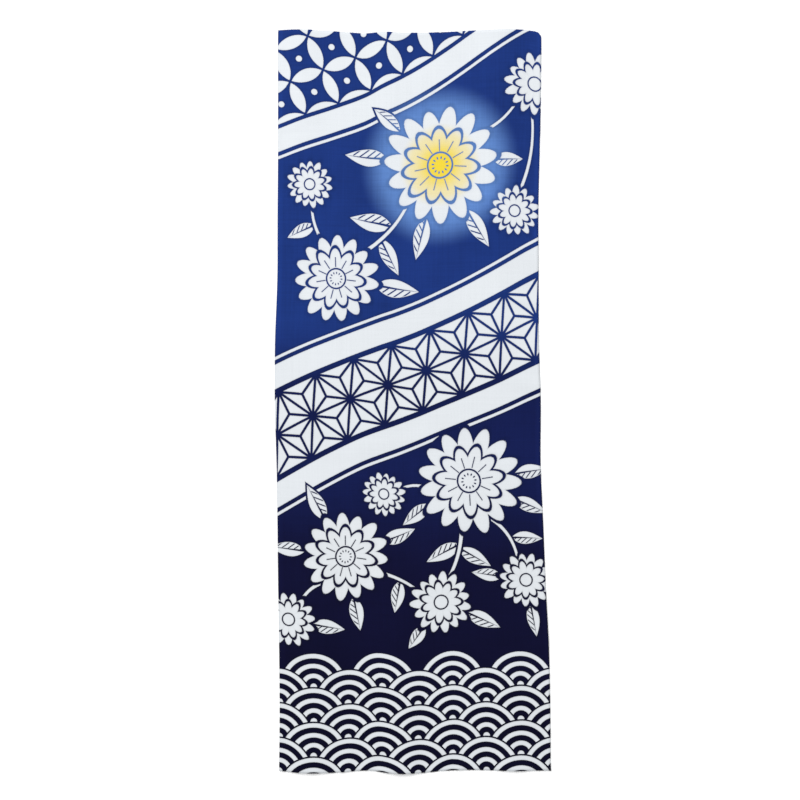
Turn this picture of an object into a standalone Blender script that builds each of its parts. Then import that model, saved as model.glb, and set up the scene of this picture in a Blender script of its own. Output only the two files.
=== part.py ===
"""Tenugui, a plain-woven cotton hand towel, lying face up with a few low ripples, as one thin solid.

Metres, +Z up. X runs across the cloth from its left selvedge to its right one, and +Y runs to its upper
cut end. The origin is at the middle of the footprint, on the surface that the cloth lies on.
"""

import math
from collections import namedtuple

import bmesh
import bpy

MM = 0.001

# Driving dimensions: one loom width of cloth, cut off at the usual towel length
CUT_WIDTH = 330 * MM
CUT_LENGTH = 900 * MM
CLOTH_THICKNESS = 1.0 * MM

# The flat sheet is divided evenly into cells of about 10 x 22 mm
CELLS_ACROSS = 32
CELLS_UP = 40

# Dyed ground of the cloth
INDIGO = (0.022, 0.042, 0.205, 1.0)
INDIGO_ROUGHNESS = 0.9

# How far each selvedge has drawn in from the cut width, in millimetres, by share of the length from the
# lower end. A value below zero bows out.
Selvedge = namedtuple("Selvedge", "up left_in right_in")
SELVEDGES = (
    Selvedge(0.000, 3.0, -2.6),
    Selvedge(0.083, 3.6, -2.2),
    Selvedge(0.167, 3.0, -0.5),
    Selvedge(0.250, 1.8, 3.3),
    Selvedge(0.333, 1.0, 6.3),
    Selvedge(0.417, -0.2, 9.6),
    Selvedge(0.500, -2.4, 9.4),
    Selvedge(0.583, -1.8, 11.7),
    Selvedge(0.667, 0.8, 12.0),
    Selvedge(0.750, 1.1, 12.4),
    Selvedge(0.833, 1.6, 10.9),
    Selvedge(0.917, 1.7, 9.1),
    Selvedge(1.000, 1.6, 8.6),
)

# How far each cut end dips in from the cut length, in millimetres, by share of the width from the left
CutEnd = namedtuple("CutEnd", "across upper_in lower_in")
CUT_ENDS = (
    CutEnd(0.00, -0.6, 1.5),
    CutEnd(0.10, -1.2, -1.2),
    CutEnd(0.22, 1.0, -0.4),
    CutEnd(0.33, 3.2, 1.9),
    CutEnd(0.40, 1.5, -1.0),
    CutEnd(0.46, 2.1, -1.8),
    CutEnd(0.54, 2.4, -0.6),
    CutEnd(0.64, 1.6, 2.3),
    CutEnd(0.75, -0.2, 2.4),
    CutEnd(0.86, -1.3, 1.3),
    CutEnd(0.94, -0.6, 1.7),
    CutEnd(1.00, 2.2, 2.2),
)

# Low ripples where the cloth lifts off the surface, in millimetres from the middle of the cloth. Each
# is a soft ridge along a line, with its full width and its rise at both ends of that line.
Ripple = namedtuple("Ripple", "from_x from_y to_x to_y width from_rise to_rise")
RIPPLES = (
    Ripple(111, 480, 98, 90, 92, 3.9, 0.9),
    Ripple(-136, 480, -128, 190, 66, 2.6, 0.6),
    Ripple(-30, 480, -24, 170, 58, 1.8, 0.5),
    Ripple(-10, -480, -28, -130, 66, 3.6, 0.7),
    Ripple(-124, -480, -112, -110, 76, 3.0, 0.8),
    Ripple(126, -480, 112, -190, 62, 1.9, 0.5),
    Ripple(-190, 84, 8, -28, 78, 2.4, 0.5),
    Ripple(186, 168, 44, 232, 84, 1.9, 0.4),
)


def curve_value(table, place, column, at):
    """The column's value where place is at, on a smooth curve through the table's rows."""
    places = [getattr(row, place) for row in table]
    values = [getattr(row, column) for row in table]
    last = len(table) - 2
    span = next((i for i in range(last) if at < places[i + 1]), last)

    def slope(i):
        low = max(i - 1, 0)
        high = min(i + 1, len(table) - 1)
        return (values[high] - values[low]) / (places[high] - places[low])

    reach = places[span + 1] - places[span]
    part = (at - places[span]) / reach
    rest = 1 - part
    return (
        values[span] * rest * rest * (1 + 2 * part)
        + values[span + 1] * part * part * (1 + 2 * rest)
        + slope(span) * reach * part * rest * rest
        - slope(span + 1) * reach * part * part * rest
    )


def outline_point(across, up):
    """Where a point of the flat cut length lies once its edges have drawn in, in metres."""
    left = CUT_WIDTH / 2 - curve_value(SELVEDGES, "up", "left_in", up) * MM
    right = CUT_WIDTH / 2 - curve_value(SELVEDGES, "up", "right_in", up) * MM
    upper = CUT_LENGTH / 2 - curve_value(CUT_ENDS, "across", "upper_in", across) * MM
    lower = CUT_LENGTH / 2 - curve_value(CUT_ENDS, "across", "lower_in", across) * MM
    return across * right - (1 - across) * left, up * upper - (1 - up) * lower


def ridge_height(ripple, x, y):
    """The lift of one ripple at x, y, which falls softly to nothing at half its width."""
    run_x = (ripple.to_x - ripple.from_x) * MM
    run_y = (ripple.to_y - ripple.from_y) * MM
    off_x = x - ripple.from_x * MM
    off_y = y - ripple.from_y * MM
    part = (off_x * run_x + off_y * run_y) / (run_x * run_x + run_y * run_y)
    part = min(max(part, 0.0), 1.0)
    distance = math.hypot(off_x - part * run_x, off_y - part * run_y)
    half_width = ripple.width * MM / 2
    if distance >= half_width:
        return 0.0
    rise = ripple.from_rise + (ripple.to_rise - ripple.from_rise) * part
    return rise * MM * math.cos(math.pi / 2 * distance / half_width) ** 2


def lift(x, y):
    """Height of the cloth's underside over the surface: zero wherever the cloth lies flat."""
    return sum(ridge_height(ripple, x, y) for ripple in RIPPLES)


def clear_scene():
    for obj in list(bpy.data.objects):
        bpy.data.objects.remove(obj)


def dyed_cotton():
    material = bpy.data.materials.new("indigo_dyed_cotton")
    material.use_nodes = True
    surface = material.node_tree.nodes["Principled BSDF"]
    surface.inputs["Base Color"].default_value = INDIGO
    surface.inputs["Roughness"].default_value = INDIGO_ROUGHNESS
    surface.inputs["Metallic"].default_value = 0.0
    material.diffuse_color = INDIGO
    return material


def tenugui_cloth():
    """The whole cloth: an even grid laid into the outline, lifted along its ripples, then thickened."""
    bm = bmesh.new()
    bmesh.ops.create_grid(bm, x_segments=CELLS_ACROSS, y_segments=CELLS_UP, size=0.5)
    for vert in bm.verts:
        x, y = outline_point(vert.co.x + 0.5, vert.co.y + 0.5)
        vert.co = (x, y, lift(x, y))

    # The footprint is centred on the origin
    middle = [(min(side) + max(side)) / 2 for side in zip(*(vert.co.xy for vert in bm.verts))]
    bmesh.ops.translate(bm, verts=bm.verts, vec=(-middle[0], -middle[1], 0.0))

    mesh = bpy.data.meshes.new("tenugui_cloth")
    bm.to_mesh(mesh)
    bm.free()
    mesh.shade_smooth()
    mesh.materials.append(dyed_cotton())
    cloth = bpy.data.objects.new("tenugui_cloth", mesh)
    bpy.context.scene.collection.objects.link(cloth)

    # The grid is the underside, and the face is raised by the thickness
    body = cloth.modifiers.new("Body", "SOLIDIFY")
    body.thickness = CLOTH_THICKNESS
    body.offset = 1.0
    body.use_even_offset = True
    return cloth


clear_scene()
tenugui_cloth()
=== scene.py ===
"""Tenugui: one cut length of plain-woven cotton, dyed through in blues with a little yellow.

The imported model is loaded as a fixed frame. A thin sheet of cloth is laid on its ripples, its
raw-cut ends get their thread ends, and the dyeing, the weave and the yarns are drawn by shader nodes that
read the cloth's own UV map, so that they follow the cloth.
"""

import math
import random
from collections import namedtuple
from functools import lru_cache

import bmesh
import bpy
from mathutils import Matrix, Vector, noise


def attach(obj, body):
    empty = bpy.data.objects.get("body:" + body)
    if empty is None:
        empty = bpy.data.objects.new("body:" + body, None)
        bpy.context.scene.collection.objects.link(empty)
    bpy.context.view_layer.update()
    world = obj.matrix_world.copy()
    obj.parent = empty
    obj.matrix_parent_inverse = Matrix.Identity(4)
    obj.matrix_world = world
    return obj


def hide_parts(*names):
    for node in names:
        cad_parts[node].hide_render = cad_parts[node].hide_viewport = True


bl_info = {
    "name": "Tenugui Towel",
    "version": (1, 0, 0),
    "blender": (4, 5, 0),
    "location": "3D View > Sidebar > Tenugui",
    "description": "Builds a dyed cotton tenugui on its packed frame, with a pale studio stage",
    "category": "Object",
}

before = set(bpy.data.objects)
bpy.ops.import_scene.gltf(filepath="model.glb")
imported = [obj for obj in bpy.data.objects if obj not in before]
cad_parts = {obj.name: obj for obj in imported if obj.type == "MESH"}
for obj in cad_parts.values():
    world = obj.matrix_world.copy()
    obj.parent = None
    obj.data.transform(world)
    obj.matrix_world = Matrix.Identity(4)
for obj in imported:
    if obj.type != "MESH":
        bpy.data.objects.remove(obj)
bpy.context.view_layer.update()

MM = 0.001
BODY = "root"
CLOTH_NODE = "tenugui_cloth"
UV_NAME = "cloth_lay"
CLOTH_PIECE = "woven_cloth"
COTTON_MATERIAL = "resist_dyed_cotton"
WHITE_LIGHT = (1.0, 1.0, 1.0, 1.0)
THREAD_SEED = 90

# How far each selvedge has drawn in from the cut width, in millimetres, by share of the length from the
# lower end. A value below zero bows out.
Selvedge = namedtuple("Selvedge", "up left_in right_in")
SELVEDGES = (
    Selvedge(0.000, 3.0, -2.6),
    Selvedge(0.083, 3.6, -2.2),
    Selvedge(0.167, 3.0, -0.5),
    Selvedge(0.250, 1.8, 3.3),
    Selvedge(0.333, 1.0, 6.3),
    Selvedge(0.417, -0.2, 9.6),
    Selvedge(0.500, -2.4, 9.4),
    Selvedge(0.583, -1.8, 11.7),
    Selvedge(0.667, 0.8, 12.0),
    Selvedge(0.750, 1.1, 12.4),
    Selvedge(0.833, 1.6, 10.9),
    Selvedge(0.917, 1.7, 9.1),
    Selvedge(1.000, 1.6, 8.6),
)

# How far each cut end dips in from the cut length, in millimetres, by share of the width from the left
CutEnd = namedtuple("CutEnd", "across upper_in lower_in")
CUT_ENDS = (
    CutEnd(0.00, -0.6, 1.5),
    CutEnd(0.10, -1.2, -1.2),
    CutEnd(0.22, 1.0, -0.4),
    CutEnd(0.33, 3.2, 1.9),
    CutEnd(0.40, 1.5, -1.0),
    CutEnd(0.46, 2.1, -1.8),
    CutEnd(0.54, 2.4, -0.6),
    CutEnd(0.64, 1.6, 2.3),
    CutEnd(0.75, -0.2, 2.4),
    CutEnd(0.86, -1.3, 1.3),
    CutEnd(0.94, -0.6, 1.7),
    CutEnd(1.00, 2.2, 2.2),
)

# Low ripples where the cloth lifts off the surface, in millimetres from the middle of the cloth. Each
# is a soft ridge along a line, with its full width and its rise at both ends of that line.
Ripple = namedtuple("Ripple", "from_x from_y to_x to_y width from_rise to_rise")
RIPPLES = (
    Ripple(111, 480, 98, 90, 92, 3.9, 0.9),
    Ripple(-136, 480, -128, 190, 66, 2.6, 0.6),
    Ripple(-30, 480, -24, 170, 58, 1.8, 0.5),
    Ripple(-10, -480, -28, -130, 66, 3.6, 0.7),
    Ripple(-124, -480, -112, -110, 76, 3.0, 0.8),
    Ripple(126, -480, 112, -190, 62, 1.9, 0.5),
    Ripple(-190, 84, 8, -28, 78, 2.4, 0.5),
    Ripple(186, 168, 44, 232, 84, 1.9, 0.4),
)

# Soft creases that smoothing by hand has left, as the ripples are given. A rise below zero is a dent.
CREASES = (
    Ripple(64, 446, 92, 392, 19, 1.4, 0.5),
    Ripple(96, 420, 138, 352, 22, 1.3, 0.6),
    Ripple(148, 430, 120, 378, 15, 1.1, 0.3),
    Ripple(82, 372, 150, 330, 20, -0.8, 1.0),
    Ripple(30, 452, 44, 404, 17, 1.1, 0.3),
    Ripple(112, 318, 162, 296, 17, 1.0, 0.5),
    Ripple(-160, 430, -124, 398, 22, 0.9, 0.4),
    Ripple(-96, 452, -88, 410, 24, 1.0, 0.3),
    Ripple(-168, 330, -120, 344, 24, 0.8, 0.3),
    Ripple(-60, 300, -10, 322, 30, 0.5, 0.4),
    Ripple(-166, 190, -110, 204, 26, 0.9, 0.4),
    Ripple(20, 210, 90, 190, 32, 0.4, 0.7),
    Ripple(164, 118, 96, 128, 26, 0.9, 0.4),
    Ripple(-168, -20, -104, -38, 28, 0.9, 0.5),
    Ripple(-70, -60, 10, -44, 34, 0.5, 0.5),
    Ripple(60, 40, 150, 18, 30, 0.4, 0.9),
    Ripple(166, -92, 108, -74, 26, 0.9, 0.4),
    Ripple(-168, -190, -116, -176, 28, 0.9, 0.4),
    Ripple(-40, -200, 36, -226, 34, 0.4, 0.7),
    Ripple(70, -170, 130, -206, 30, 0.4, 0.7),
    Ripple(-150, -300, -90, -322, 26, 0.8, 0.4),
    Ripple(166, -290, 110, -312, 26, 0.9, 0.4),
    Ripple(30, -330, 84, -360, 28, 0.5, 0.5),
    Ripple(60, -452, 46, -404, 22, 1.2, 0.3),
    Ripple(-84, -452, -70, -398, 22, 1.2, 0.3),
    Ripple(160, -440, 124, -408, 20, 0.9, 0.4),
)

# Small rumples of washed cotton, from broad to fine: noise cells in each metre across and up the cloth,
# the layer of noise that they are read from, and their share of the unevenness
Rumple = namedtuple("Rumple", "across up layer share")
RUMPLES = (
    Rumple(13, 9, 3.1, 0.22),
    Rumple(30, 24, 7.7, 0.12),
    Rumple(66, 54, 4.4, 0.05),
)

# How round each corner is, as a share of the roundest one, the upper right: lower corners first, and the
# left one of each pair first. The lower right one juts out a little.
CORNERS = ((0.05, -0.3), (0.15, 1.0))

# Height of the middle band's own middle where it crosses the middle of the cloth's width, in millimetres
# from the lower end
BAND_MIDDLE = 480.0

# The dyed flowers, in millimetres from the cloth's lower left corner
Flower = namedtuple("Flower", "u v radius turn")
MAIN_FLOWER = Flower(204, 738, 73, 8)
FLOWERS = (
    MAIN_FLOWER,
    Flower(74, 600, 55, 40),
    Flower(300, 680, 31, 15),
    Flower(40, 713, 29, 65),
    Flower(322, 836, 38, 30),
    Flower(240, 353, 65, 22),
    Flower(84, 262, 55, 70),
    Flower(200, 206, 38, 12),
    Flower(306, 232, 34, 50),
    Flower(12, 185, 33, 5),
    Flower(133, 339, 27, 33),
)

# The leaves, each from its base, with the way that its tip points in degrees from the right
Leaf = namedtuple("Leaf", "u v length width turn")
LEAVES = (
    Leaf(146, 663, 56, 23, 168),
    Leaf(130, 649, 50, 20, -62),
    Leaf(188, 674, 52, 21, 256),
    Leaf(239, 682, 54, 21, -58),
    Leaf(271, 742, 38, 18, 2),
    Leaf(124, 592, 56, 23, -8),
    Leaf(47, 664, 38, 17, 205),
    Leaf(138, 745, 54, 22, 174),
    Leaf(153, 780, 42, 18, 140),
    Leaf(226, 276, 46, 19, 205),
    Leaf(225, 271, 44, 18, -30),
    Leaf(190, 327, 42, 18, 216),
    Leaf(297, 361, 42, 18, 10),
    Leaf(294, 331, 44, 18, -22),
    Leaf(290, 284, 38, 16, -2),
    Leaf(130, 281, 44, 18, 22),
    Leaf(60, 306, 48, 20, 118),
    Leaf(34, 269, 44, 18, 176),
    Leaf(93, 213, 42, 18, -80),
    Leaf(151, 235, 40, 17, -102),
    Leaf(231, 192, 44, 19, -24),
    Leaf(179, 179, 34, 16, 232),
    Leaf(277, 236, 38, 16, 172),
    Leaf(310, 203, 40, 16, -82),
    Leaf(40, 181, 42, 18, -10),
)

# The stems, each an arc through three points that thins from its first end to its last
Stem = namedtuple("Stem", "from_u from_v by_u by_v to_u to_v wide thin")
STEMS = (
    Stem(101, 629, 141, 657, 167, 698, 4.6, 3.2),
    Stem(62, 638, 46, 667, 44, 699, 3.8, 2.6),
    Stem(306, 704, 319, 752, 318, 806, 3.8, 2.6),
    Stem(246, 773, 280, 790, 303, 820, 3.8, 2.6),
    Stem(228, 306, 224, 266, 205, 227, 4.6, 3.2),
    Stem(122, 244, 153, 235, 178, 216, 4.0, 2.8),
    Stem(263, 308, 288, 283, 297, 250, 4.0, 2.8),
    Stem(56, 231, 35, 218, 24, 197, 4.0, 2.8),
    Stem(191, 345, 168, 350, 148, 342, 3.6, 2.6),
)

# The rings of petals of every flower, in shares of its radius. The seed turns a ring and draws the uneven
# lengths of its petals.
PetalRing = namedtuple("PetalRing", "count start tip width seed")
OUTER_PETALS = PetalRing(15, 0.22, 1.00, 0.150, 0.0)
INNER_PETALS = PetalRing(11, 0.12, 0.66, 0.125, 0.4)

# The heart of every flower and the ring of seeds in it, in shares of the flower's radius
HEART_RADIUS = 0.2
SEED_RING = 0.125
SEED_COUNT = 12

# Least radius, in millimetres, of a flower that has seeds, and a vein in each inner petal
LARGE_FLOWER = 45.0


class ClothSizes(bpy.types.PropertyGroup):
    """Sizes of the cut length and of its lie."""

    cut_width: bpy.props.FloatProperty(
        name="Cut Width", description="One loom width, selvedge to selvedge",
        default=330 * MM, unit="LENGTH")
    cut_length: bpy.props.FloatProperty(
        name="Cut Length", description="Length from one cut end to the other",
        default=900 * MM, unit="LENGTH")
    thickness: bpy.props.FloatProperty(
        name="Thickness", description="Thickness of the woven cotton",
        default=0.5 * MM, unit="LENGTH")
    cells_across: bpy.props.IntProperty(
        name="Cells Across", description="Faces of the sheet across its width", default=104)
    cells_up: bpy.props.IntProperty(
        name="Cells Up", description="Faces of the sheet along its length", default=280)
    unevenness: bpy.props.FloatProperty(
        name="Unevenness", description="Rise of the small rumples all over the cloth",
        default=2.3 * MM, unit="LENGTH")
    edge_pucker: bpy.props.FloatProperty(
        name="Edge Pucker", description="Rise of the small waves that run along the edges",
        default=0.7 * MM, unit="LENGTH")
    corner_round: bpy.props.FloatProperty(
        name="Corner Rounding", description="How far the roundest corner has drawn in both ways",
        default=2.2 * MM, unit="LENGTH")
    corner_reach: bpy.props.FloatProperty(
        name="Corner Reach", description="How far from a corner its rounding is mostly gone",
        default=2.6 * MM, unit="LENGTH")
    wander: bpy.props.FloatProperty(
        name="Wander", description="How far the yarns drift off square where the cloth was smoothed by hand",
        default=2.4 * MM, unit="LENGTH")
    yarn_pitch: bpy.props.FloatProperty(
        name="Yarn Pitch", description="Distance from one yarn of the weave to the next",
        default=0.45 * MM, unit="LENGTH")
    thread_spacing: bpy.props.FloatProperty(
        name="Thread Spacing", description="Mean distance between the thread ends along a cut end",
        default=1.1 * MM, unit="LENGTH")
    thread_length: bpy.props.FloatProperty(
        name="Thread Length", description="Length of the longest thread ends",
        default=1.9 * MM, unit="LENGTH")
    thread_radius: bpy.props.FloatProperty(
        name="Thread Radius", description="Radius of a thread end where it leaves the weave",
        default=0.14 * MM, unit="LENGTH")


class PatternSizes(bpy.types.PropertyGroup):
    """Sizes of the pattern that the paste keeps white."""

    slant: bpy.props.FloatProperty(
        name="Slant", description="Turn of the bands that cross the cloth",
        default=math.radians(26), unit="ROTATION")
    sway: bpy.props.FloatProperty(
        name="Sway", description="How far the bands swing to and fro along their way",
        default=9.0 * MM, unit="LENGTH")
    sway_length: bpy.props.FloatProperty(
        name="Sway Length", description="Length of the bands' way in which they swing to and fro once",
        default=502.65 * MM, unit="LENGTH")
    hemp_row: bpy.props.FloatProperty(
        name="Hemp Row", description="Height of each of the two rows of hemp leaves in the middle band",
        default=44.0 * MM, unit="LENGTH")
    hemp_line: bpy.props.FloatProperty(
        name="Hemp Line", description="Width of the dyed lines between the hemp leaves",
        default=3.2 * MM, unit="LENGTH")
    white_band: bpy.props.FloatProperty(
        name="White Band", description="Width of the plain white bands",
        default=26.5 * MM, unit="LENGTH")
    thin_line: bpy.props.FloatProperty(
        name="Thin Line", description="Width of the thin white line beside each plain band",
        default=3.4 * MM, unit="LENGTH")
    strip: bpy.props.FloatProperty(
        name="Dyed Strip", description="Width of the dyed strips beside each plain band",
        default=5.0 * MM, unit="LENGTH")
    corner_from: bpy.props.FloatProperty(
        name="Corner From", description="How far from the cloth's middle the upper corner's pattern starts",
        default=313.5 * MM, unit="LENGTH")
    ring_pitch: bpy.props.FloatProperty(
        name="Ring Pitch", description="Distance between the middles of the linked rings",
        default=44.0 * MM, unit="LENGTH")
    ring_line: bpy.props.FloatProperty(
        name="Ring Line", description="Width of the dyed lines where the linked rings meet",
        default=2.8 * MM, unit="LENGTH")
    ring_dot: bpy.props.FloatProperty(
        name="Ring Dot", description="Radius of the dot in the middle of each ring",
        default=3.74 * MM, unit="LENGTH")
    wave_radius: bpy.props.FloatProperty(
        name="Wave Radius", description="Radius of the scales that make the waves",
        default=42.0 * MM, unit="LENGTH")
    wave_gap: bpy.props.FloatProperty(
        name="Wave Gap", description="Width of the dyed line around each scale",
        default=2.0 * MM, unit="LENGTH")
    wave_rows: bpy.props.IntProperty(
        name="Wave Rows", description="Rows of waves above the first one", default=5)
    dyed_gap: bpy.props.FloatProperty(
        name="Dyed Gap", description="Width of the dyed line round each flower, leaf and stem",
        default=2.6 * MM, unit="LENGTH")


class DyeColours(bpy.types.PropertyGroup):
    """Colours of the undyed cotton and of the dyes."""

    cotton: bpy.props.FloatVectorProperty(
        name="Cotton", description="Undyed, bleached cotton", subtype="COLOR", size=4,
        default=(0.733, 0.766, 0.800, 1.0))
    royal: bpy.props.FloatVectorProperty(
        name="Royal Blue", description="Ground at the upper end", subtype="COLOR", size=4,
        default=(0.0105, 0.034, 0.185, 1.0))
    navy: bpy.props.FloatVectorProperty(
        name="Navy", description="Ground below the middle", subtype="COLOR", size=4,
        default=(0.0055, 0.0108, 0.073, 1.0))
    night: bpy.props.FloatVectorProperty(
        name="Night Blue", description="Ground over the waves", subtype="COLOR", size=4,
        default=(0.0036, 0.0040, 0.030, 1.0))
    ink: bpy.props.FloatVectorProperty(
        name="Ink Blue", description="Ground at the lower end", subtype="COLOR", size=4,
        default=(0.0020, 0.0018, 0.0150, 1.0))
    halo: bpy.props.FloatVectorProperty(
        name="Halo Blue", description="Thin blue around the largest flower", subtype="COLOR", size=4,
        default=(0.115, 0.240, 0.570, 1.0))
    yellow: bpy.props.FloatVectorProperty(
        name="Yellow", description="Heart of the largest flower", subtype="COLOR", size=4,
        default=(0.830, 0.640, 0.050, 1.0))


class StageSizes(bpy.types.PropertyGroup):
    """The floor, the lights and the camera."""

    lens: bpy.props.FloatProperty(
        name="Lens", description="Focal length of the camera", default=85.0, unit="CAMERA")
    floor_side: bpy.props.FloatProperty(
        name="Floor Side", description="Side of the square floor", default=60.0, unit="LENGTH")
    floor_tone: bpy.props.FloatProperty(
        name="Floor Tone", description="Share of the light that the floor gives back", default=0.97)
    floor_glow: bpy.props.FloatProperty(
        name="Floor Glow", description="Light that the floor gives by itself, so that it stays even",
        default=0.15)
    key_place: bpy.props.FloatVectorProperty(
        name="Key Place", description="Place of the large light, up and to the left of the cloth",
        subtype="TRANSLATION", size=3, default=(-1.3, 2.1, 3.05))
    key_width: bpy.props.FloatProperty(
        name="Key Width", description="Width of the large light", default=3.2, unit="LENGTH")
    key_depth: bpy.props.FloatProperty(
        name="Key Depth", description="Depth of the large light", default=2.4, unit="LENGTH")
    key_power: bpy.props.FloatProperty(
        name="Key Power", description="Power of the large light above the cloth",
        default=108.0, unit="POWER")
    fill_strength: bpy.props.FloatProperty(
        name="Fill Strength", description="Strength of the even white surroundings", default=0.62)


def curve_value(table, place, column, at):
    """The column's value where place is at, on a smooth curve through the table's rows."""
    places = [getattr(row, place) for row in table]
    values = [getattr(row, column) for row in table]
    last = len(table) - 2
    span = next((i for i in range(last) if at < places[i + 1]), last)

    def slope(i):
        low = max(i - 1, 0)
        high = min(i + 1, len(table) - 1)
        return (values[high] - values[low]) / (places[high] - places[low])

    reach = places[span + 1] - places[span]
    part = (at - places[span]) / reach
    rest = 1 - part
    return (
        values[span] * rest * rest * (1 + 2 * part)
        + values[span + 1] * part * part * (1 + 2 * rest)
        + slope(span) * reach * part * rest * rest
        - slope(span + 1) * reach * part * part * rest
    )


@lru_cache(maxsize=None)
def selvedge_in(up):
    """How far both selvedges have drawn in at this share of the length, in metres."""
    left = curve_value(SELVEDGES, "up", "left_in", up) * MM
    right = curve_value(SELVEDGES, "up", "right_in", up) * MM
    return left, right


@lru_cache(maxsize=None)
def cut_end_in(across):
    """How far both cut ends dip in at this share of the width, in metres."""
    upper = curve_value(CUT_ENDS, "across", "upper_in", across) * MM
    lower = curve_value(CUT_ENDS, "across", "lower_in", across) * MM
    return upper, lower


def outline_point(sizes, across, up):
    """Where a point of the flat cut length lies once its edges have drawn in, in metres."""
    left_in, right_in = selvedge_in(up)
    upper_in, lower_in = cut_end_in(across)
    x = across * (sizes.cut_width / 2 - right_in) - (1 - across) * (sizes.cut_width / 2 - left_in)
    y = up * (sizes.cut_length / 2 - upper_in) - (1 - up) * (sizes.cut_length / 2 - lower_in)
    return x, y


def ridge_height(ripple, x, y):
    """The lift of one ripple at x, y, which falls softly to nothing at half its width."""
    run = Vector((ripple.to_x - ripple.from_x, ripple.to_y - ripple.from_y)) * MM
    off = Vector((x, y)) - Vector((ripple.from_x, ripple.from_y)) * MM
    part = min(max(off.dot(run) / run.length_squared, 0.0), 1.0)
    distance = (off - part * run).length
    half_width = ripple.width * MM / 2
    if distance >= half_width:
        return 0.0
    rise = ripple.from_rise + (ripple.to_rise - ripple.from_rise) * part
    return rise * MM * math.cos(math.pi / 2 * distance / half_width) ** 2


def rumple(sizes, x, y, across, up):
    """Small unevenness of washed cotton, and the finer waves that its edges keep."""
    uneven = sum(row.share * noise.noise(Vector((x * row.across, y * row.up, row.layer))) for row in RUMPLES)
    # The upper right of the cloth was smoothed least
    rough = 1.0 + 0.7 * min(max(across + up - 1.1, 0.0) / 0.7, 1.0)
    mean_share = 0.16
    height = sizes.unevenness * (mean_share + rough * uneven)
    from_side = min(across, 1 - across) * sizes.cut_width
    from_end = min(up, 1 - up) * sizes.cut_length
    # Each edge has waves of its own
    side_wave = 0.5 + 0.5 * noise.noise(Vector((round(across) * 9.0, y * 46, 1.3)))
    end_wave = 0.5 + 0.5 * noise.noise(Vector((x * 52, round(up) * 9.0, 5.9)))
    side_reach = 9 * MM
    end_reach = 11 * MM
    height += sizes.edge_pucker * side_wave * math.exp(-from_side / side_reach)
    height += sizes.edge_pucker * end_wave * math.exp(-from_end / end_reach)
    return height


def wander(sizes, across, up):
    """How far the yarns have drifted off square here. Along the outline they only slide along it."""
    inside = math.sin(math.pi * across)
    from_end = math.sin(math.pi * up)
    # The weft bows and the warp sways, each after a slow layer of noise of its own
    bow = noise.noise(Vector((across * 1.1, up * 3.4, 2.2))) * inside
    sway = noise.noise(Vector((across * 2.6, up * 5.5, 8.8))) * inside
    return Vector((sway * 0.6, bow * min(1.0, from_end * 4))) * sizes.wander


def corner_turn(sizes, across, up):
    """How far a point beside a corner draws in."""
    from_side = min(across, 1 - across) * sizes.cut_width
    from_end = min(up, 1 - up) * sizes.cut_length
    share = math.exp(-(from_side + from_end) / sizes.corner_reach) * CORNERS[round(up)][round(across)]
    inwards = Vector((1 if across < 0.5 else -1, 1 if up < 0.5 else -1))
    return inwards * sizes.corner_round * share


def cloth_point(sizes, across, up):
    """A point of the cloth's underside as it lies."""
    x, y = (
        Vector(outline_point(sizes, across, up))
        + wander(sizes, across, up)
        + corner_turn(sizes, across, up)
    )
    lift = sum(ridge_height(row, x, y) for row in RIPPLES + CREASES)
    height = lift + rumple(sizes, x, y, across, up)
    # Where it would dip below the surface the cloth flattens softly onto it
    softness = 0.35 * MM
    clearance = 0.03 * MM
    return Vector((x, y, (height + math.hypot(height, softness)) / 2 + clearance))


def finish_piece(name, bm, material):
    """Turns a bmesh into a finished piece at the origin, riding on the one body."""
    mesh = bpy.data.meshes.new(name)
    bm.to_mesh(mesh)
    bm.free()
    mesh.shade_smooth()
    mesh.materials.append(material)
    piece = bpy.data.objects.new(name, mesh)
    bpy.context.scene.collection.objects.link(piece)
    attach(piece, BODY)
    return piece


class Field:
    """A number that varies over the cloth. Arithmetic on it adds Math nodes to the material."""

    def __init__(self, tree, socket):
        self.tree = tree
        self.socket = socket

    def node(self, operation, *values):
        made = new_node(self.tree, "ShaderNodeMath")
        made.operation = operation
        for slot, value in zip(made.inputs, values):
            feed(slot, value)
        return Field(self.tree, made.outputs[0])

    def __add__(self, other):
        return self.node("ADD", self, other)

    def __radd__(self, other):
        return self.node("ADD", self, other)

    def __sub__(self, other):
        return self.node("SUBTRACT", self, other)

    def __rsub__(self, other):
        return self.node("SUBTRACT", other, self)

    def __mul__(self, other):
        return self.node("MULTIPLY", self, other)

    def __rmul__(self, other):
        return self.node("MULTIPLY", self, other)

    def __truediv__(self, other):
        return self.node("DIVIDE", self, other)

    def __rtruediv__(self, other):
        return self.node("DIVIDE", other, self)

    def __abs__(self):
        return self.node("ABSOLUTE", self)

    def below(self, other):
        return self.node("LESS_THAN", self, other)

    def above(self, other):
        return self.node("GREATER_THAN", self, other)

    def floor(self):
        return self.node("FLOOR", self)

    def fract(self):
        return self.node("FRACT", self)

    def to_nearest(self, step):
        """Distance to the nearest whole multiple of twice the step."""
        return self.node("PINGPONG", self, step)

    def cos(self):
        return self.node("COSINE", self)

    def sin(self):
        return self.node("SINE", self)

    def root(self):
        return self.node("SQRT", self)

    def power(self, exponent):
        return self.node("POWER", self, exponent)

    def within(self, low, high):
        """0 at low and before, 1 at high and past it, with a soft S between."""
        made = new_node(self.tree, "ShaderNodeMapRange")
        made.interpolation_type = "SMOOTHSTEP"
        for slot, value in zip(made.inputs[:3], (self, low, high)):
            feed(slot, value)
        return Field(self.tree, made.outputs[0])


def new_node(tree, kind):
    """A new node, set down in reading order so that the tree stays legible."""
    per_row = 24
    count = len(tree.nodes)
    made = tree.nodes.new(kind)
    made.location = (count % per_row * 190, -(count // per_row) * 260)
    made.hide = kind == "ShaderNodeMath"
    return made


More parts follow.
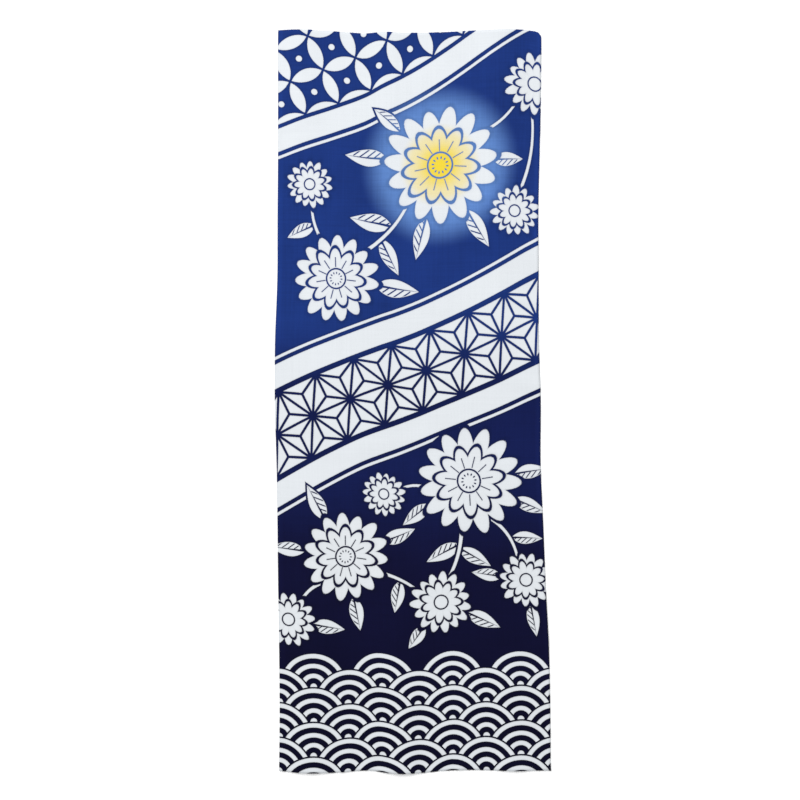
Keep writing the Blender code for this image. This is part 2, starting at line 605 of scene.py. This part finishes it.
def feed(slot, value):
    """Links a field, vector or colour socket to an input, or sets a plain value on it."""
    source = getattr(value, "socket", value)
    if isinstance(source, bpy.types.NodeSocket):
        slot.id_data.links.new(source, slot)
    else:
        slot.default_value = source


def least(first, *others):
    """The least of some fields, which joins the shapes that they stand for."""
    for other in others:
        first = first.node("MINIMUM", first, other)
    return first


def most(first, *others):
    """The greatest of some fields, which leaves what their shapes share."""
    for other in others:
        first = first.node("MAXIMUM", first, other)
    return first


def length_of(a, b):
    """Distance from the origin of a place that two fields give."""
    return (a * a + b * b).root()


def angle_of(x, y):
    """Turn of a place around the origin, from the right, in radians."""
    return x.node("ARCTAN2", y, x)


def cut_by(shape, tool, gap):
    """The shape with the tool and a gap around it taken out. Inside a shape its field is below zero."""
    return most(shape, gap - tool)


def chosen(switch, when_on, when_off, kind="FLOAT"):
    """One of two fields, vectors or colours, by a share from 0 to 1."""
    made = new_node(switch.tree, "ShaderNodeMix")
    made.data_type = kind
    slots = [slot for slot in made.inputs if slot.enabled]
    feed(slots[0], switch)
    feed(slots[1], when_off)
    feed(slots[2], when_on)
    result = next(out for out in made.outputs if out.enabled)
    return Field(switch.tree, result)


def parts_of(vector):
    """The first two parts of a vector."""
    made = new_node(vector.tree, "ShaderNodeSeparateXYZ")
    feed(made.inputs[0], vector)
    return Field(vector.tree, made.outputs[0]), Field(vector.tree, made.outputs[1])


def placed(vector, u, v, turn=0.0, width=1.0, height=1.0):
    """The vector seen from a place on the cloth, turned and measured in that place's own sizes."""
    made = new_node(vector.tree, "ShaderNodeMapping")
    made.vector_type = "TEXTURE"
    feed(made.inputs["Vector"], vector)
    feed(made.inputs["Location"], (u, v, 0.0))
    feed(made.inputs["Rotation"], (0.0, 0.0, math.radians(turn)))
    feed(made.inputs["Scale"], (width, height, 1.0))
    return Field(vector.tree, made.outputs[0])


def vector_length(vector):
    """Length of a vector, as a field."""
    made = new_node(vector.tree, "ShaderNodeVectorMath")
    made.operation = "LENGTH"
    feed(made.inputs[0], vector)
    return Field(vector.tree, made.outputs["Value"])


def noise_field(vector, scale, detail, roughness=0.5):
    """Noise about zero with its coarsest size set by scale, in repeats per millimetre."""
    made = new_node(vector.tree, "ShaderNodeTexNoise")
    made.noise_dimensions = "2D"
    feed(made.inputs["Vector"], vector)
    feed(made.inputs["Scale"], scale)
    feed(made.inputs["Detail"], detail)
    feed(made.inputs["Roughness"], roughness)
    return Field(vector.tree, made.outputs["Fac"]) - 0.5


def yarn_streaks(lay, length, width):
    """Noise about zero in streaks along both yarn ways, those of the warp longer than those of the weft."""
    weft = noise_field(placed(lay, 0.0, 0.0, width=length, height=width), 1.0, 1.0)
    warp = noise_field(placed(lay, 0.0, 0.0, width=width, height=length * 1.4), 1.0, 1.0)
    return weft + warp


def hemp_leaf(along, across, height, line):
    """Lines of a hemp-leaf lattice: the sides of even triangles, and spokes from each one's middle."""
    tilt = math.sqrt(3) / 2
    sides = (
        across / height,
        (along * tilt - across * 0.5) / height,
        (along * -tilt - across * 0.5) / height,
    )
    shares = [side.fract() for side in sides]
    flipped = (shares[0] + shares[1] + shares[2]).above(1.5)
    shares = [abs(flipped - share) for share in shares]
    low = least(*shares)
    high = most(*shares)
    side = low * height
    spoke = (1.0 - high - low * 2.0) * (height / math.sqrt(3))
    return least(side, spoke) - line / 2


def linked_rings(along, across, pitch, line, dot_radius):
    """Petals where the rings of a square lattice overlap, with a dot in the middle of each ring."""
    radius = pitch / math.sqrt(2)
    a = along.to_nearest(pitch / 2)
    b = across.to_nearest(pitch / 2)
    next_ring = length_of(pitch - most(a, b), least(a, b))
    petal = next_ring - (radius - line / 2)
    dot = length_of(a, b) - dot_radius
    return least(petal, dot)


def wave_scales(u, v, radius, gap, top_row):
    """Rows of overlapping scales, each of four rings, the lower rows in front of the upper ones.

    Gives the white rings and the whole ground that the scales cover, in millimetres."""
    rows = v * (2 / radius)
    row = rows.floor()
    part = rows - row
    near = (u + row * radius).to_nearest(radius)
    far = radius - near
    half = radius / 2
    far_off = radius * 9
    front = length_of(far, (part + 1.0) * half) + row.above(top_row + 1.5) * far_off
    middle = length_of(near, part * half) + row.above(top_row + 0.5) * far_off
    back = length_of(far, (1.0 - part) * half) + row.above(top_row - 0.5) * far_off
    reach = chosen(middle.below(radius), middle, back)
    reach = chosen(front.below(radius), front, reach)
    spacing = radius * 0.285
    line = spacing * 0.44
    ring = (radius - gap - line / 2 - reach).to_nearest(spacing / 2) - line / 2
    return most(ring, reach - (radius - gap)), reach - radius


def nearest(lay, places):
    """The local coordinates of the nearest place, in its half sizes, with its half width and its distance.

    Places are rows of u, v, turn, half length and half width."""
    best = here = half_width = None
    for u, v, turn, long, wide in places:
        local = placed(lay, u, v, turn, long, wide)
        far = vector_length(local)
        if best is None:
            best, here, half_width = far, local, float(wide)
            continue
        closer = far.below(best)
        here = chosen(closer, local, here, "VECTOR")
        half_width = chosen(closer, float(wide), half_width)
        best = least(best, far)
    return here, half_width, best


def petal_ring(turn, reach, radius, ring):
    """A ring of oval petals of uneven length, and the places along and across each, in flower radii."""
    sector = turn * (ring.count / (2 * math.pi)) + ring.seed
    index = (sector + 0.5).floor()
    angle = (sector - index) * (2 * math.pi / ring.count)
    chance = new_node(turn.tree, "ShaderNodeTexWhiteNoise")
    chance.noise_dimensions = "2D"
    place = new_node(turn.tree, "ShaderNodeCombineXYZ")
    feed(place.inputs[0], index.node("FLOORED_MODULO", index, float(ring.count)) + ring.seed)
    feed(place.inputs[1], radius)
    feed(chance.inputs["Vector"], place.outputs[0])
    uneven = Field(turn.tree, chance.outputs["Value"]) * 0.1 + 0.92
    middle = (ring.start + ring.tip) / 2
    half = (ring.tip - ring.start) / 2
    along = (reach * angle.cos() / uneven - middle) / half
    across = reach * angle.sin()
    return (length_of(along, across / ring.width) - 1.0) * ring.width, along, across


def flower_shape(here, reach, radius):
    """White parts of a flower, then its outline along the petals and a rounder one, in millimetres."""
    turn = angle_of(*parts_of(here))
    line = 1.2 / radius + 0.015
    outer, _, _ = petal_ring(turn, reach, radius, OUTER_PETALS)
    inner, along, across = petal_ring(turn, reach, radius, INNER_PETALS)

    # Only the large flowers have a vein in each inner petal and a ring of seeds in the heart
    small = radius.below(LARGE_FLOWER)
    half_vein = 0.6 / radius
    vein = most(abs(across) - half_vein, along - 0.3, -0.5 - along) + small
    inner = cut_by(inner, vein, 0.0)
    heart = reach - HEART_RADIUS
    # A seed's half length is a share of the radius, and its half width a share of its place in the ring
    half_length = 0.024
    half_width = 0.2
    seed_turn = (turn * (SEED_COUNT / (2 * math.pi))).fract() - 0.5
    seed = length_of((reach - SEED_RING) / half_length, seed_turn / half_width) - 1.0
    seeded_heart = cut_by(heart, seed * 0.02 + small, 0.0)

    petals = least(cut_by(outer, inner, line), inner)
    white = least(cut_by(petals, heart, line), seeded_heart)
    hull = least(reach - 0.5, outer)
    disc = least(reach - 0.98, outer)
    return white * radius, hull * radius, disc * radius


def leaf_shape(here, width):
    """A pointed leaf with an open midrib, and side veins on its lower half.

    Its place runs from -1 at the base to 1 at the tip, and across it in half widths."""
    x, y = parts_of(here)
    # Far from the leaf the curve of its edge would grow without end
    x = least(most(x, -1.5), 1.5)
    edge = (1.0 - x * x) * (0.92 - x * 0.28)
    side = abs(y)
    blade = (side - edge) * width
    rib = (side - 0.075 * (1.0 - x)) * width
    vein_pitch = 1.0
    half_vein = 0.13
    veins_end = 0.62
    edge_kept = 0.7
    veins = ((x * 3.0 + side * 1.4).to_nearest(vein_pitch / 2) - half_vein) * width * 0.66
    veins = most(veins, (y + 0.05) * width, blade + edge_kept, (x - veins_end) * width)
    white = cut_by(blade, rib, 0.0)
    white = cut_by(white, veins, 0.0)
    return white, blade


def stem_line(lay, stem):
    """An arc through the stem's three points, as wide as the stem at each end."""
    start = Vector((stem.from_u, stem.from_v))
    by = Vector((stem.by_u, stem.by_v))
    end = Vector((stem.to_u, stem.to_v))
    a = by - start
    b = end - start
    turned = 2 * (a.x * b.y - a.y * b.x)
    centre = start + Vector((
        (b.y * a.length_squared - a.y * b.length_squared) / turned,
        (a.x * b.length_squared - b.x * a.length_squared) / turned,
    ))
    bend = (start - centre).length
    middle = ((start + end) / 2 - centre).normalized()
    half_turn = math.asin((end - start).length / 2 / bend)
    local = placed(lay, centre.x, centre.y, math.degrees(math.atan2(middle.y, middle.x)))
    turn = angle_of(*parts_of(local))
    # The sign of the turn at the stem's last end says which way it thins
    last = 1.0 if turned > 0 else -1.0
    half = turn * ((stem.thin - stem.wide) / 4 / half_turn * last) + (stem.thin + stem.wide) / 4
    return most(abs(vector_length(local) - bend) - half, (abs(turn) - half_turn) * bend)


def band_lay(u, v, sizes, pattern):
    """Coordinates of the slanting bands: along them, and across them towards the upper left."""
    from_middle_u = u - sizes.cut_width / MM / 2
    from_middle_v = v - BAND_MIDDLE
    cos = math.cos(pattern.slant)
    sin = math.sin(pattern.slant)
    along = from_middle_u * cos + from_middle_v * sin
    across = from_middle_v * cos - from_middle_u * sin
    turn = along * (2 * math.pi / (pattern.sway_length / MM))
    return along, across + turn.sin() * (pattern.sway / MM)


def stripe(place, low, width):
    """A stripe that starts at low and is as wide as width."""
    return abs(place - (low + width / 2)) - width / 2


def middle_band(along, across, pattern):
    """Two rows of hemp leaves, with a plain white band and a thin line outside them on each side."""
    row = pattern.hemp_row / MM
    strip = pattern.strip / MM
    plain = pattern.white_band / MM
    off = abs(across)
    lines = hemp_leaf(along, across + row, row, pattern.hemp_line / MM)
    leaves = most(off - row, 0.0 - lines)
    thin_from = row + strip + plain + strip
    return least(leaves, stripe(off, row + strip, plain), stripe(off, thin_from, pattern.thin_line / MM))


def upper_corner(along, across, pattern):
    """Linked rings behind a plain white band and a thin line."""
    start = pattern.corner_from / MM
    strip = pattern.strip / MM
    plain = pattern.white_band / MM
    thin = pattern.thin_line / MM
    pitch = pattern.ring_pitch / MM
    rings_from = start + plain + strip
    up_from_rings = across - (rings_from - pitch / 2)
    rings = linked_rings(along, up_from_rings, pitch, pattern.ring_line / MM, pattern.ring_dot / MM)
    rings = most(rings, rings_from - across)
    return least(rings, stripe(across, start, plain), stripe(across, start - strip - thin, thin))


def reserve(lay, sizes, pattern):
    """The undyed parts of the design as one field in millimetres, below zero where the cloth is white."""
    u, v = parts_of(lay)
    along, across = band_lay(u, v, sizes, pattern)
    gap = pattern.dyed_gap / MM
    white = least(middle_band(along, across, pattern), upper_corner(along, across, pattern))
    waves, wave_cover = wave_scales(
        u, v, pattern.wave_radius / MM, pattern.wave_gap / MM, pattern.wave_rows)
    white = least(cut_by(white, wave_cover, gap), waves)

    # Leaves, then stems over them, then flowers on top, each with a dyed gap around it
    flowers = [(flower.u, flower.v, flower.turn, flower.radius, flower.radius) for flower in FLOWERS]
    here, radius, reach = nearest(lay, flowers)
    flower_white, flower_hull, flower_disc = flower_shape(here, reach, radius)
    white = cut_by(white, flower_disc, gap)
    leaves = []
    for leaf in LEAVES:
        way = math.radians(leaf.turn)
        middle = (leaf.u + math.cos(way) * leaf.length / 2, leaf.v + math.sin(way) * leaf.length / 2)
        leaves.append((*middle, leaf.turn, leaf.length / 2, leaf.width / 2))
    here, half_width, _ = nearest(lay, leaves)
    leaf_white, leaf_cover = leaf_shape(here, half_width)
    white = least(cut_by(white, leaf_cover, gap), leaf_white)
    stems = least(*(stem_line(lay, stem) for stem in STEMS))
    white = least(cut_by(white, stems, gap), stems)
    return least(cut_by(white, flower_hull, gap), flower_white)


def ground_colour(v, length, colours):
    """The dye's slow change from royal blue at the upper end to a near-black blue at the lower one."""
    made = new_node(v.tree, "ShaderNodeValToRGB")
    # Places are shares of the cloth's length from its lower end
    stops = (
        (0.04, colours.ink),
        (0.27, colours.night),
        (0.42, colours.navy),
        (0.51, colours.navy),
        (0.62, colours.royal),
    )
    ramp = made.color_ramp
    ramp.interpolation = "EASE"
    while len(ramp.elements) < len(stops):
        ramp.elements.new(0.5)
    for element, (place, colour) in zip(ramp.elements, stops):
        element.position = place
        element.color = colour
    feed(made.inputs[0], v / length)
    return Field(v.tree, made.outputs[0])


def scaled(colour, factor):
    """A colour made darker or lighter by a factor."""
    made = new_node(colour.tree, "ShaderNodeVectorMath")
    made.operation = "SCALE"
    feed(made.inputs[0], colour)
    feed(made.inputs["Scale"], factor)
    return Field(colour.tree, made.outputs[0])


def plain_weave(u, v, pitch):
    """Height of a plain weave's yarns: at each crossing the upper yarn is long along its own way."""
    fullness = 0.45
    cell_u = u / pitch
    cell_v = v / pitch
    odd = (cell_u.floor() + cell_v.floor()).to_nearest(1.0)
    round_u = abs((cell_u * math.pi).sin())
    round_v = abs((cell_v * math.pi).sin())
    return chosen(odd, round_u * round_v.power(fullness), round_v * round_u.power(fullness))


def dyed_cotton(sizes, pattern, colours):
    """Cotton dyed through a paste resist, read from the cloth's own UV map in millimetres."""
    material = bpy.data.materials.new(COTTON_MATERIAL)
    material.use_nodes = True
    tree = material.node_tree
    surface = tree.nodes["Principled BSDF"]
    surface.inputs["Metallic"].default_value = 0.0
    surface.inputs["Specular IOR Level"].default_value = 0.06
    surface.inputs["Sheen Weight"].default_value = 0.02
    surface.inputs["Sheen Roughness"].default_value = 0.6

    source = new_node(tree, "ShaderNodeUVMap")
    source.uv_map = UV_NAME
    lay = scaled(Field(tree, source.outputs[0]), sizes.cut_length / MM)
    u, v = parts_of(lay)
    white = reserve(lay, sizes, pattern)

    # The dye creeps a little under the paste
    creep = noise_field(lay, 0.9, 2.0) * 0.7
    half_soft = 0.33
    undyed = (white + creep).within(half_soft, -half_soft)

    # Thin blue around the largest flower, and yellow brushed on its heart, in shares of its radius
    from_main = vector_length(placed(lay, MAIN_FLOWER.u, MAIN_FLOWER.v)) / float(MAIN_FLOWER.radius)
    ground = ground_colour(v, sizes.cut_length / MM, colours)
    ground = chosen(from_main.within(1.42, 0.90) * 0.92, tuple(colours.halo), ground, "RGBA")
    heart = from_main.within(0.73, 0.49) * 0.52 + from_main.within(0.52, 0.14) * 0.48

    # Uneven take-up of the dye: broad clouds, streaks along the yarns, a darker rim where it pools
    # against the paste and a paler strip inside each selvedge
    clouds = noise_field(lay, 0.012, 4.0, 0.6)
    fine = yarn_streaks(lay, 55.0, 0.9)
    broad = yarn_streaks(lay, 80.0, 2.6)
    from_side = least(u, sizes.cut_width / MM - u)
    pale_strip = from_side.within(8.0, 4.0) * from_side.within(0.6, 2.0)
    rim = white.within(3.4, 0.2)
    take_up = clouds * 0.42 + fine * 0.15 + broad * 0.13 - rim * 0.2 + pale_strip * 0.14
    ground = scaled(ground, 1.0 + take_up)

    # The white takes a breath of the dye beside each edge, and its yarns are a little uneven
    cotton = chosen(heart, tuple(colours.yellow), tuple(colours.cotton), "RGBA")
    cotton = chosen(white.within(-2.2, 0.0) * 0.08, ground, cotton, "RGBA")
    cotton = scaled(cotton, 1.0 + fine * 0.030 + broad * 0.034 + clouds * 0.05)
    feed(surface.inputs["Base Color"], chosen(undyed, cotton, ground, "RGBA"))
    feed(surface.inputs["Roughness"], 0.88 + fine * 0.12)

    # The weave, its uneven yarns and the thicker cords of each selvedge, in millimetres
    cord_width = 1.6
    cord_relief = (from_side - cord_width / 2).to_nearest(cord_width / 2) - cord_width / 4
    cords = cord_relief * from_side.within(3.4, 2.8) * -0.3
    relief = plain_weave(u, v, sizes.yarn_pitch / MM) * 0.06 + fine * 0.12 + cords
    bump = new_node(tree, "ShaderNodeBump")
    bump.inputs["Strength"].default_value = 0.5
    bump.inputs["Distance"].default_value = MM
    feed(bump.inputs["Height"], relief)
    feed(surface.inputs["Normal"], bump.outputs[0])
    return material


def thread_end(bm, lay, sizes, chance, across, up):
    """Adds one warp thread that stands out of a cut end, with the dye of the weave that it leaves."""
    outwards = 2 * up - 1
    length = sizes.thread_length * (0.25 + 0.75 * chance.random() ** 2.2)
    start = cloth_point(sizes, across, up)
    start.z += sizes.thickness * chance.uniform(0.35, 0.65)
    start.y -= outwards * sizes.thread_radius * 2
    way = Vector((chance.gauss(0.0, 0.28), outwards, chance.gauss(-0.02, 0.10))).normalized()
    turn = way.to_track_quat("Z", "Y").to_matrix().to_4x4()
    made = bmesh.ops.create_cone(
        bm, cap_ends=True, segments=4,
        radius1=sizes.thread_radius, radius2=sizes.thread_radius * 0.45, depth=length,
        matrix=Matrix.Translation(start + way * length / 2) @ turn,
    )
    # Its place on the UV map is kept just inside the cloth's own
    inside = 0.0008
    place = (across * sizes.cut_width / sizes.cut_length, min(max(up, inside), 1 - inside))
    for face in {face for vert in made["verts"] for face in vert.link_faces}:
        for loop in face.loops:
            loop[lay].uv = place


class TENUGUI_OT_cloth(bpy.types.Operator):
    """Lay the thin woven cloth on the frame's ripples and dye it"""

    bl_idname = "tenugui.cloth"
    bl_label = "Lay the Cloth"

    def execute(self, context):
        sizes = context.scene.tenugui_sizes
        pattern = context.scene.tenugui_pattern
        colours = context.scene.tenugui_colours
        bm = bmesh.new()
        bmesh.ops.create_grid(bm, x_segments=sizes.cells_across, y_segments=sizes.cells_up, size=0.5)
        lay = bm.loops.layers.uv.new(UV_NAME)
        wide = sizes.cut_width / sizes.cut_length
        for face in bm.faces:
            for loop in face.loops:
                flat = loop.vert.co
                loop[lay].uv = ((flat.x + 0.5) * wide, flat.y + 0.5)
        for vert in bm.verts:
            vert.co = cloth_point(sizes, vert.co.x + 0.5, vert.co.y + 0.5)
        cloth = finish_piece(CLOTH_PIECE, bm, dyed_cotton(sizes, pattern, colours))
        body = cloth.modifiers.new("Weave Thickness", "SOLIDIFY")
        body.thickness = sizes.thickness
        body.offset = 1.0
        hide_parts(CLOTH_NODE)
        return {"FINISHED"}


class TENUGUI_OT_thread_ends(bpy.types.Operator):
    bl_idname = "tenugui.thread_ends"
    bl_label = "Fray the Cut Ends"

    def execute(self, context):
        sizes = context.scene.tenugui_sizes
        cloth = bpy.data.objects.get(CLOTH_PIECE)
        if cloth is None:
            raise RuntimeError("The cloth is laid before its ends are frayed")
        chance = random.Random(THREAD_SEED)
        bm = bmesh.new()
        lay = bm.loops.layers.uv.new(UV_NAME)
        spacing = sizes.thread_spacing / sizes.cut_width
        margin = 0.002
        for up in (0.0, 1.0):
            across = margin
            while across < 1 - margin:
                thread_end(bm, lay, sizes, chance, across, up)
                across += spacing * chance.uniform(0.35, 1.65)
        ends = finish_piece("thread_ends", bm, bpy.data.materials[COTTON_MATERIAL])
        return {"FINISHED"}


def pale_floor(scene, stage):
    """A wide, even floor that gives a little light of its own."""
    bm = bmesh.new()
    bmesh.ops.create_grid(bm, x_segments=1, y_segments=1, size=stage.floor_side / 2)
    mesh = bpy.data.meshes.new("floor")
    bm.to_mesh(mesh)
    bm.free()
    material = bpy.data.materials.new("pale_floor")
    material.use_nodes = True
    surface = material.node_tree.nodes["Principled BSDF"]
    tone = stage.floor_tone
    surface.inputs["Base Color"].default_value = (tone, tone, tone, 1.0)
    surface.inputs["Emission Color"].default_value = WHITE_LIGHT
    surface.inputs["Emission Strength"].default_value = stage.floor_glow
    surface.inputs["Roughness"].default_value = 1.0
    surface.inputs["Specular IOR Level"].default_value = 0.0
    mesh.materials.append(material)
    floor = bpy.data.objects.new("floor", mesh)
    scene.collection.objects.link(floor)


def studio_light(scene, stage):
    """Even white surroundings, and one large soft light that is aimed at the cloth's middle."""
    world = bpy.data.worlds.new("studio")
    world.use_nodes = True
    sky = world.node_tree.nodes["Background"]
    sky.inputs["Color"].default_value = WHITE_LIGHT
    sky.inputs["Strength"].default_value = stage.fill_strength
    scene.world = world

    key = bpy.data.lights.new("key", "AREA")
    key.shape = "RECTANGLE"
    key.size = stage.key_width
    key.size_y = stage.key_depth
    key.energy = stage.key_power
    lamp = bpy.data.objects.new("key", key)
    lamp.location = stage.key_place
    lamp.rotation_euler = (-lamp.location).to_track_quat("-Z", "Y").to_euler()
    scene.collection.objects.link(lamp)


def photo_camera(scene, stage, sizes):
    """The camera straight above the cloth, which it frames as the photograph does."""
    # The photograph's side, and the cloth's length and middle in it, in its own pixels
    picture_side = 800
    cloth_length = 741
    cloth_middle = (412.6, 401.4)
    pixel = sizes.cut_length / cloth_length
    camera = bpy.data.cameras.new("camera")
    camera.lens = stage.lens
    # Far enough for the whole floor in a low view
    camera.clip_end = 200.0
    view = bpy.data.objects.new("camera", camera)
    view.location = (
        (picture_side / 2 - cloth_middle[0]) * pixel,
        (cloth_middle[1] - picture_side / 2) * pixel,
        picture_side * pixel * camera.lens / camera.sensor_width,
    )
    scene.collection.objects.link(view)
    scene.camera = view
    scene.view_settings.view_transform = "Standard"


class TENUGUI_OT_stage(bpy.types.Operator):
    """Set the pale floor, the soft lights and the camera straight above the cloth"""

    bl_idname = "tenugui.stage"
    bl_label = "Set the Stage"

    def execute(self, context):
        scene = context.scene
        pale_floor(scene, scene.tenugui_stage)
        studio_light(scene, scene.tenugui_stage)
        photo_camera(scene, scene.tenugui_stage, scene.tenugui_sizes)
        return {"FINISHED"}


class TENUGUI_PT_panel(bpy.types.Panel):
    """The steps of the towel, in order"""

    bl_label = "Tenugui"
    bl_idname = "TENUGUI_PT_panel"
    bl_space_type = "VIEW_3D"
    bl_region_type = "UI"
    bl_category = "Tenugui"

    def draw(self, context):
        for step in STEPS:
            self.layout.operator(step.bl_idname)
        for place, kind in GROUPS.items():
            group = getattr(context.scene, place)
            box = self.layout.box()
            for name in kind.__annotations__:
                box.prop(group, name)


# Where each group of sizes or colours is kept on the scene
GROUPS = {
    "tenugui_sizes": ClothSizes,
    "tenugui_pattern": PatternSizes,
    "tenugui_colours": DyeColours,
    "tenugui_stage": StageSizes,
}
STEPS = (TENUGUI_OT_cloth, TENUGUI_OT_thread_ends, TENUGUI_OT_stage)
CLASSES = (*GROUPS.values(), *STEPS, TENUGUI_PT_panel)


def register():
    for item in CLASSES:
        bpy.utils.register_class(item)
    for place, kind in GROUPS.items():
        setattr(bpy.types.Scene, place, bpy.props.PointerProperty(type=kind))


def unregister():
    for place in GROUPS:
        delattr(bpy.types.Scene, place)
    for item in reversed(CLASSES):
        bpy.utils.unregister_class(item)


def main():
    register()
    bpy.ops.tenugui.cloth()
    bpy.ops.tenugui.thread_ends()
    bpy.ops.tenugui.stage()


if __name__ == "__main__":
    main()
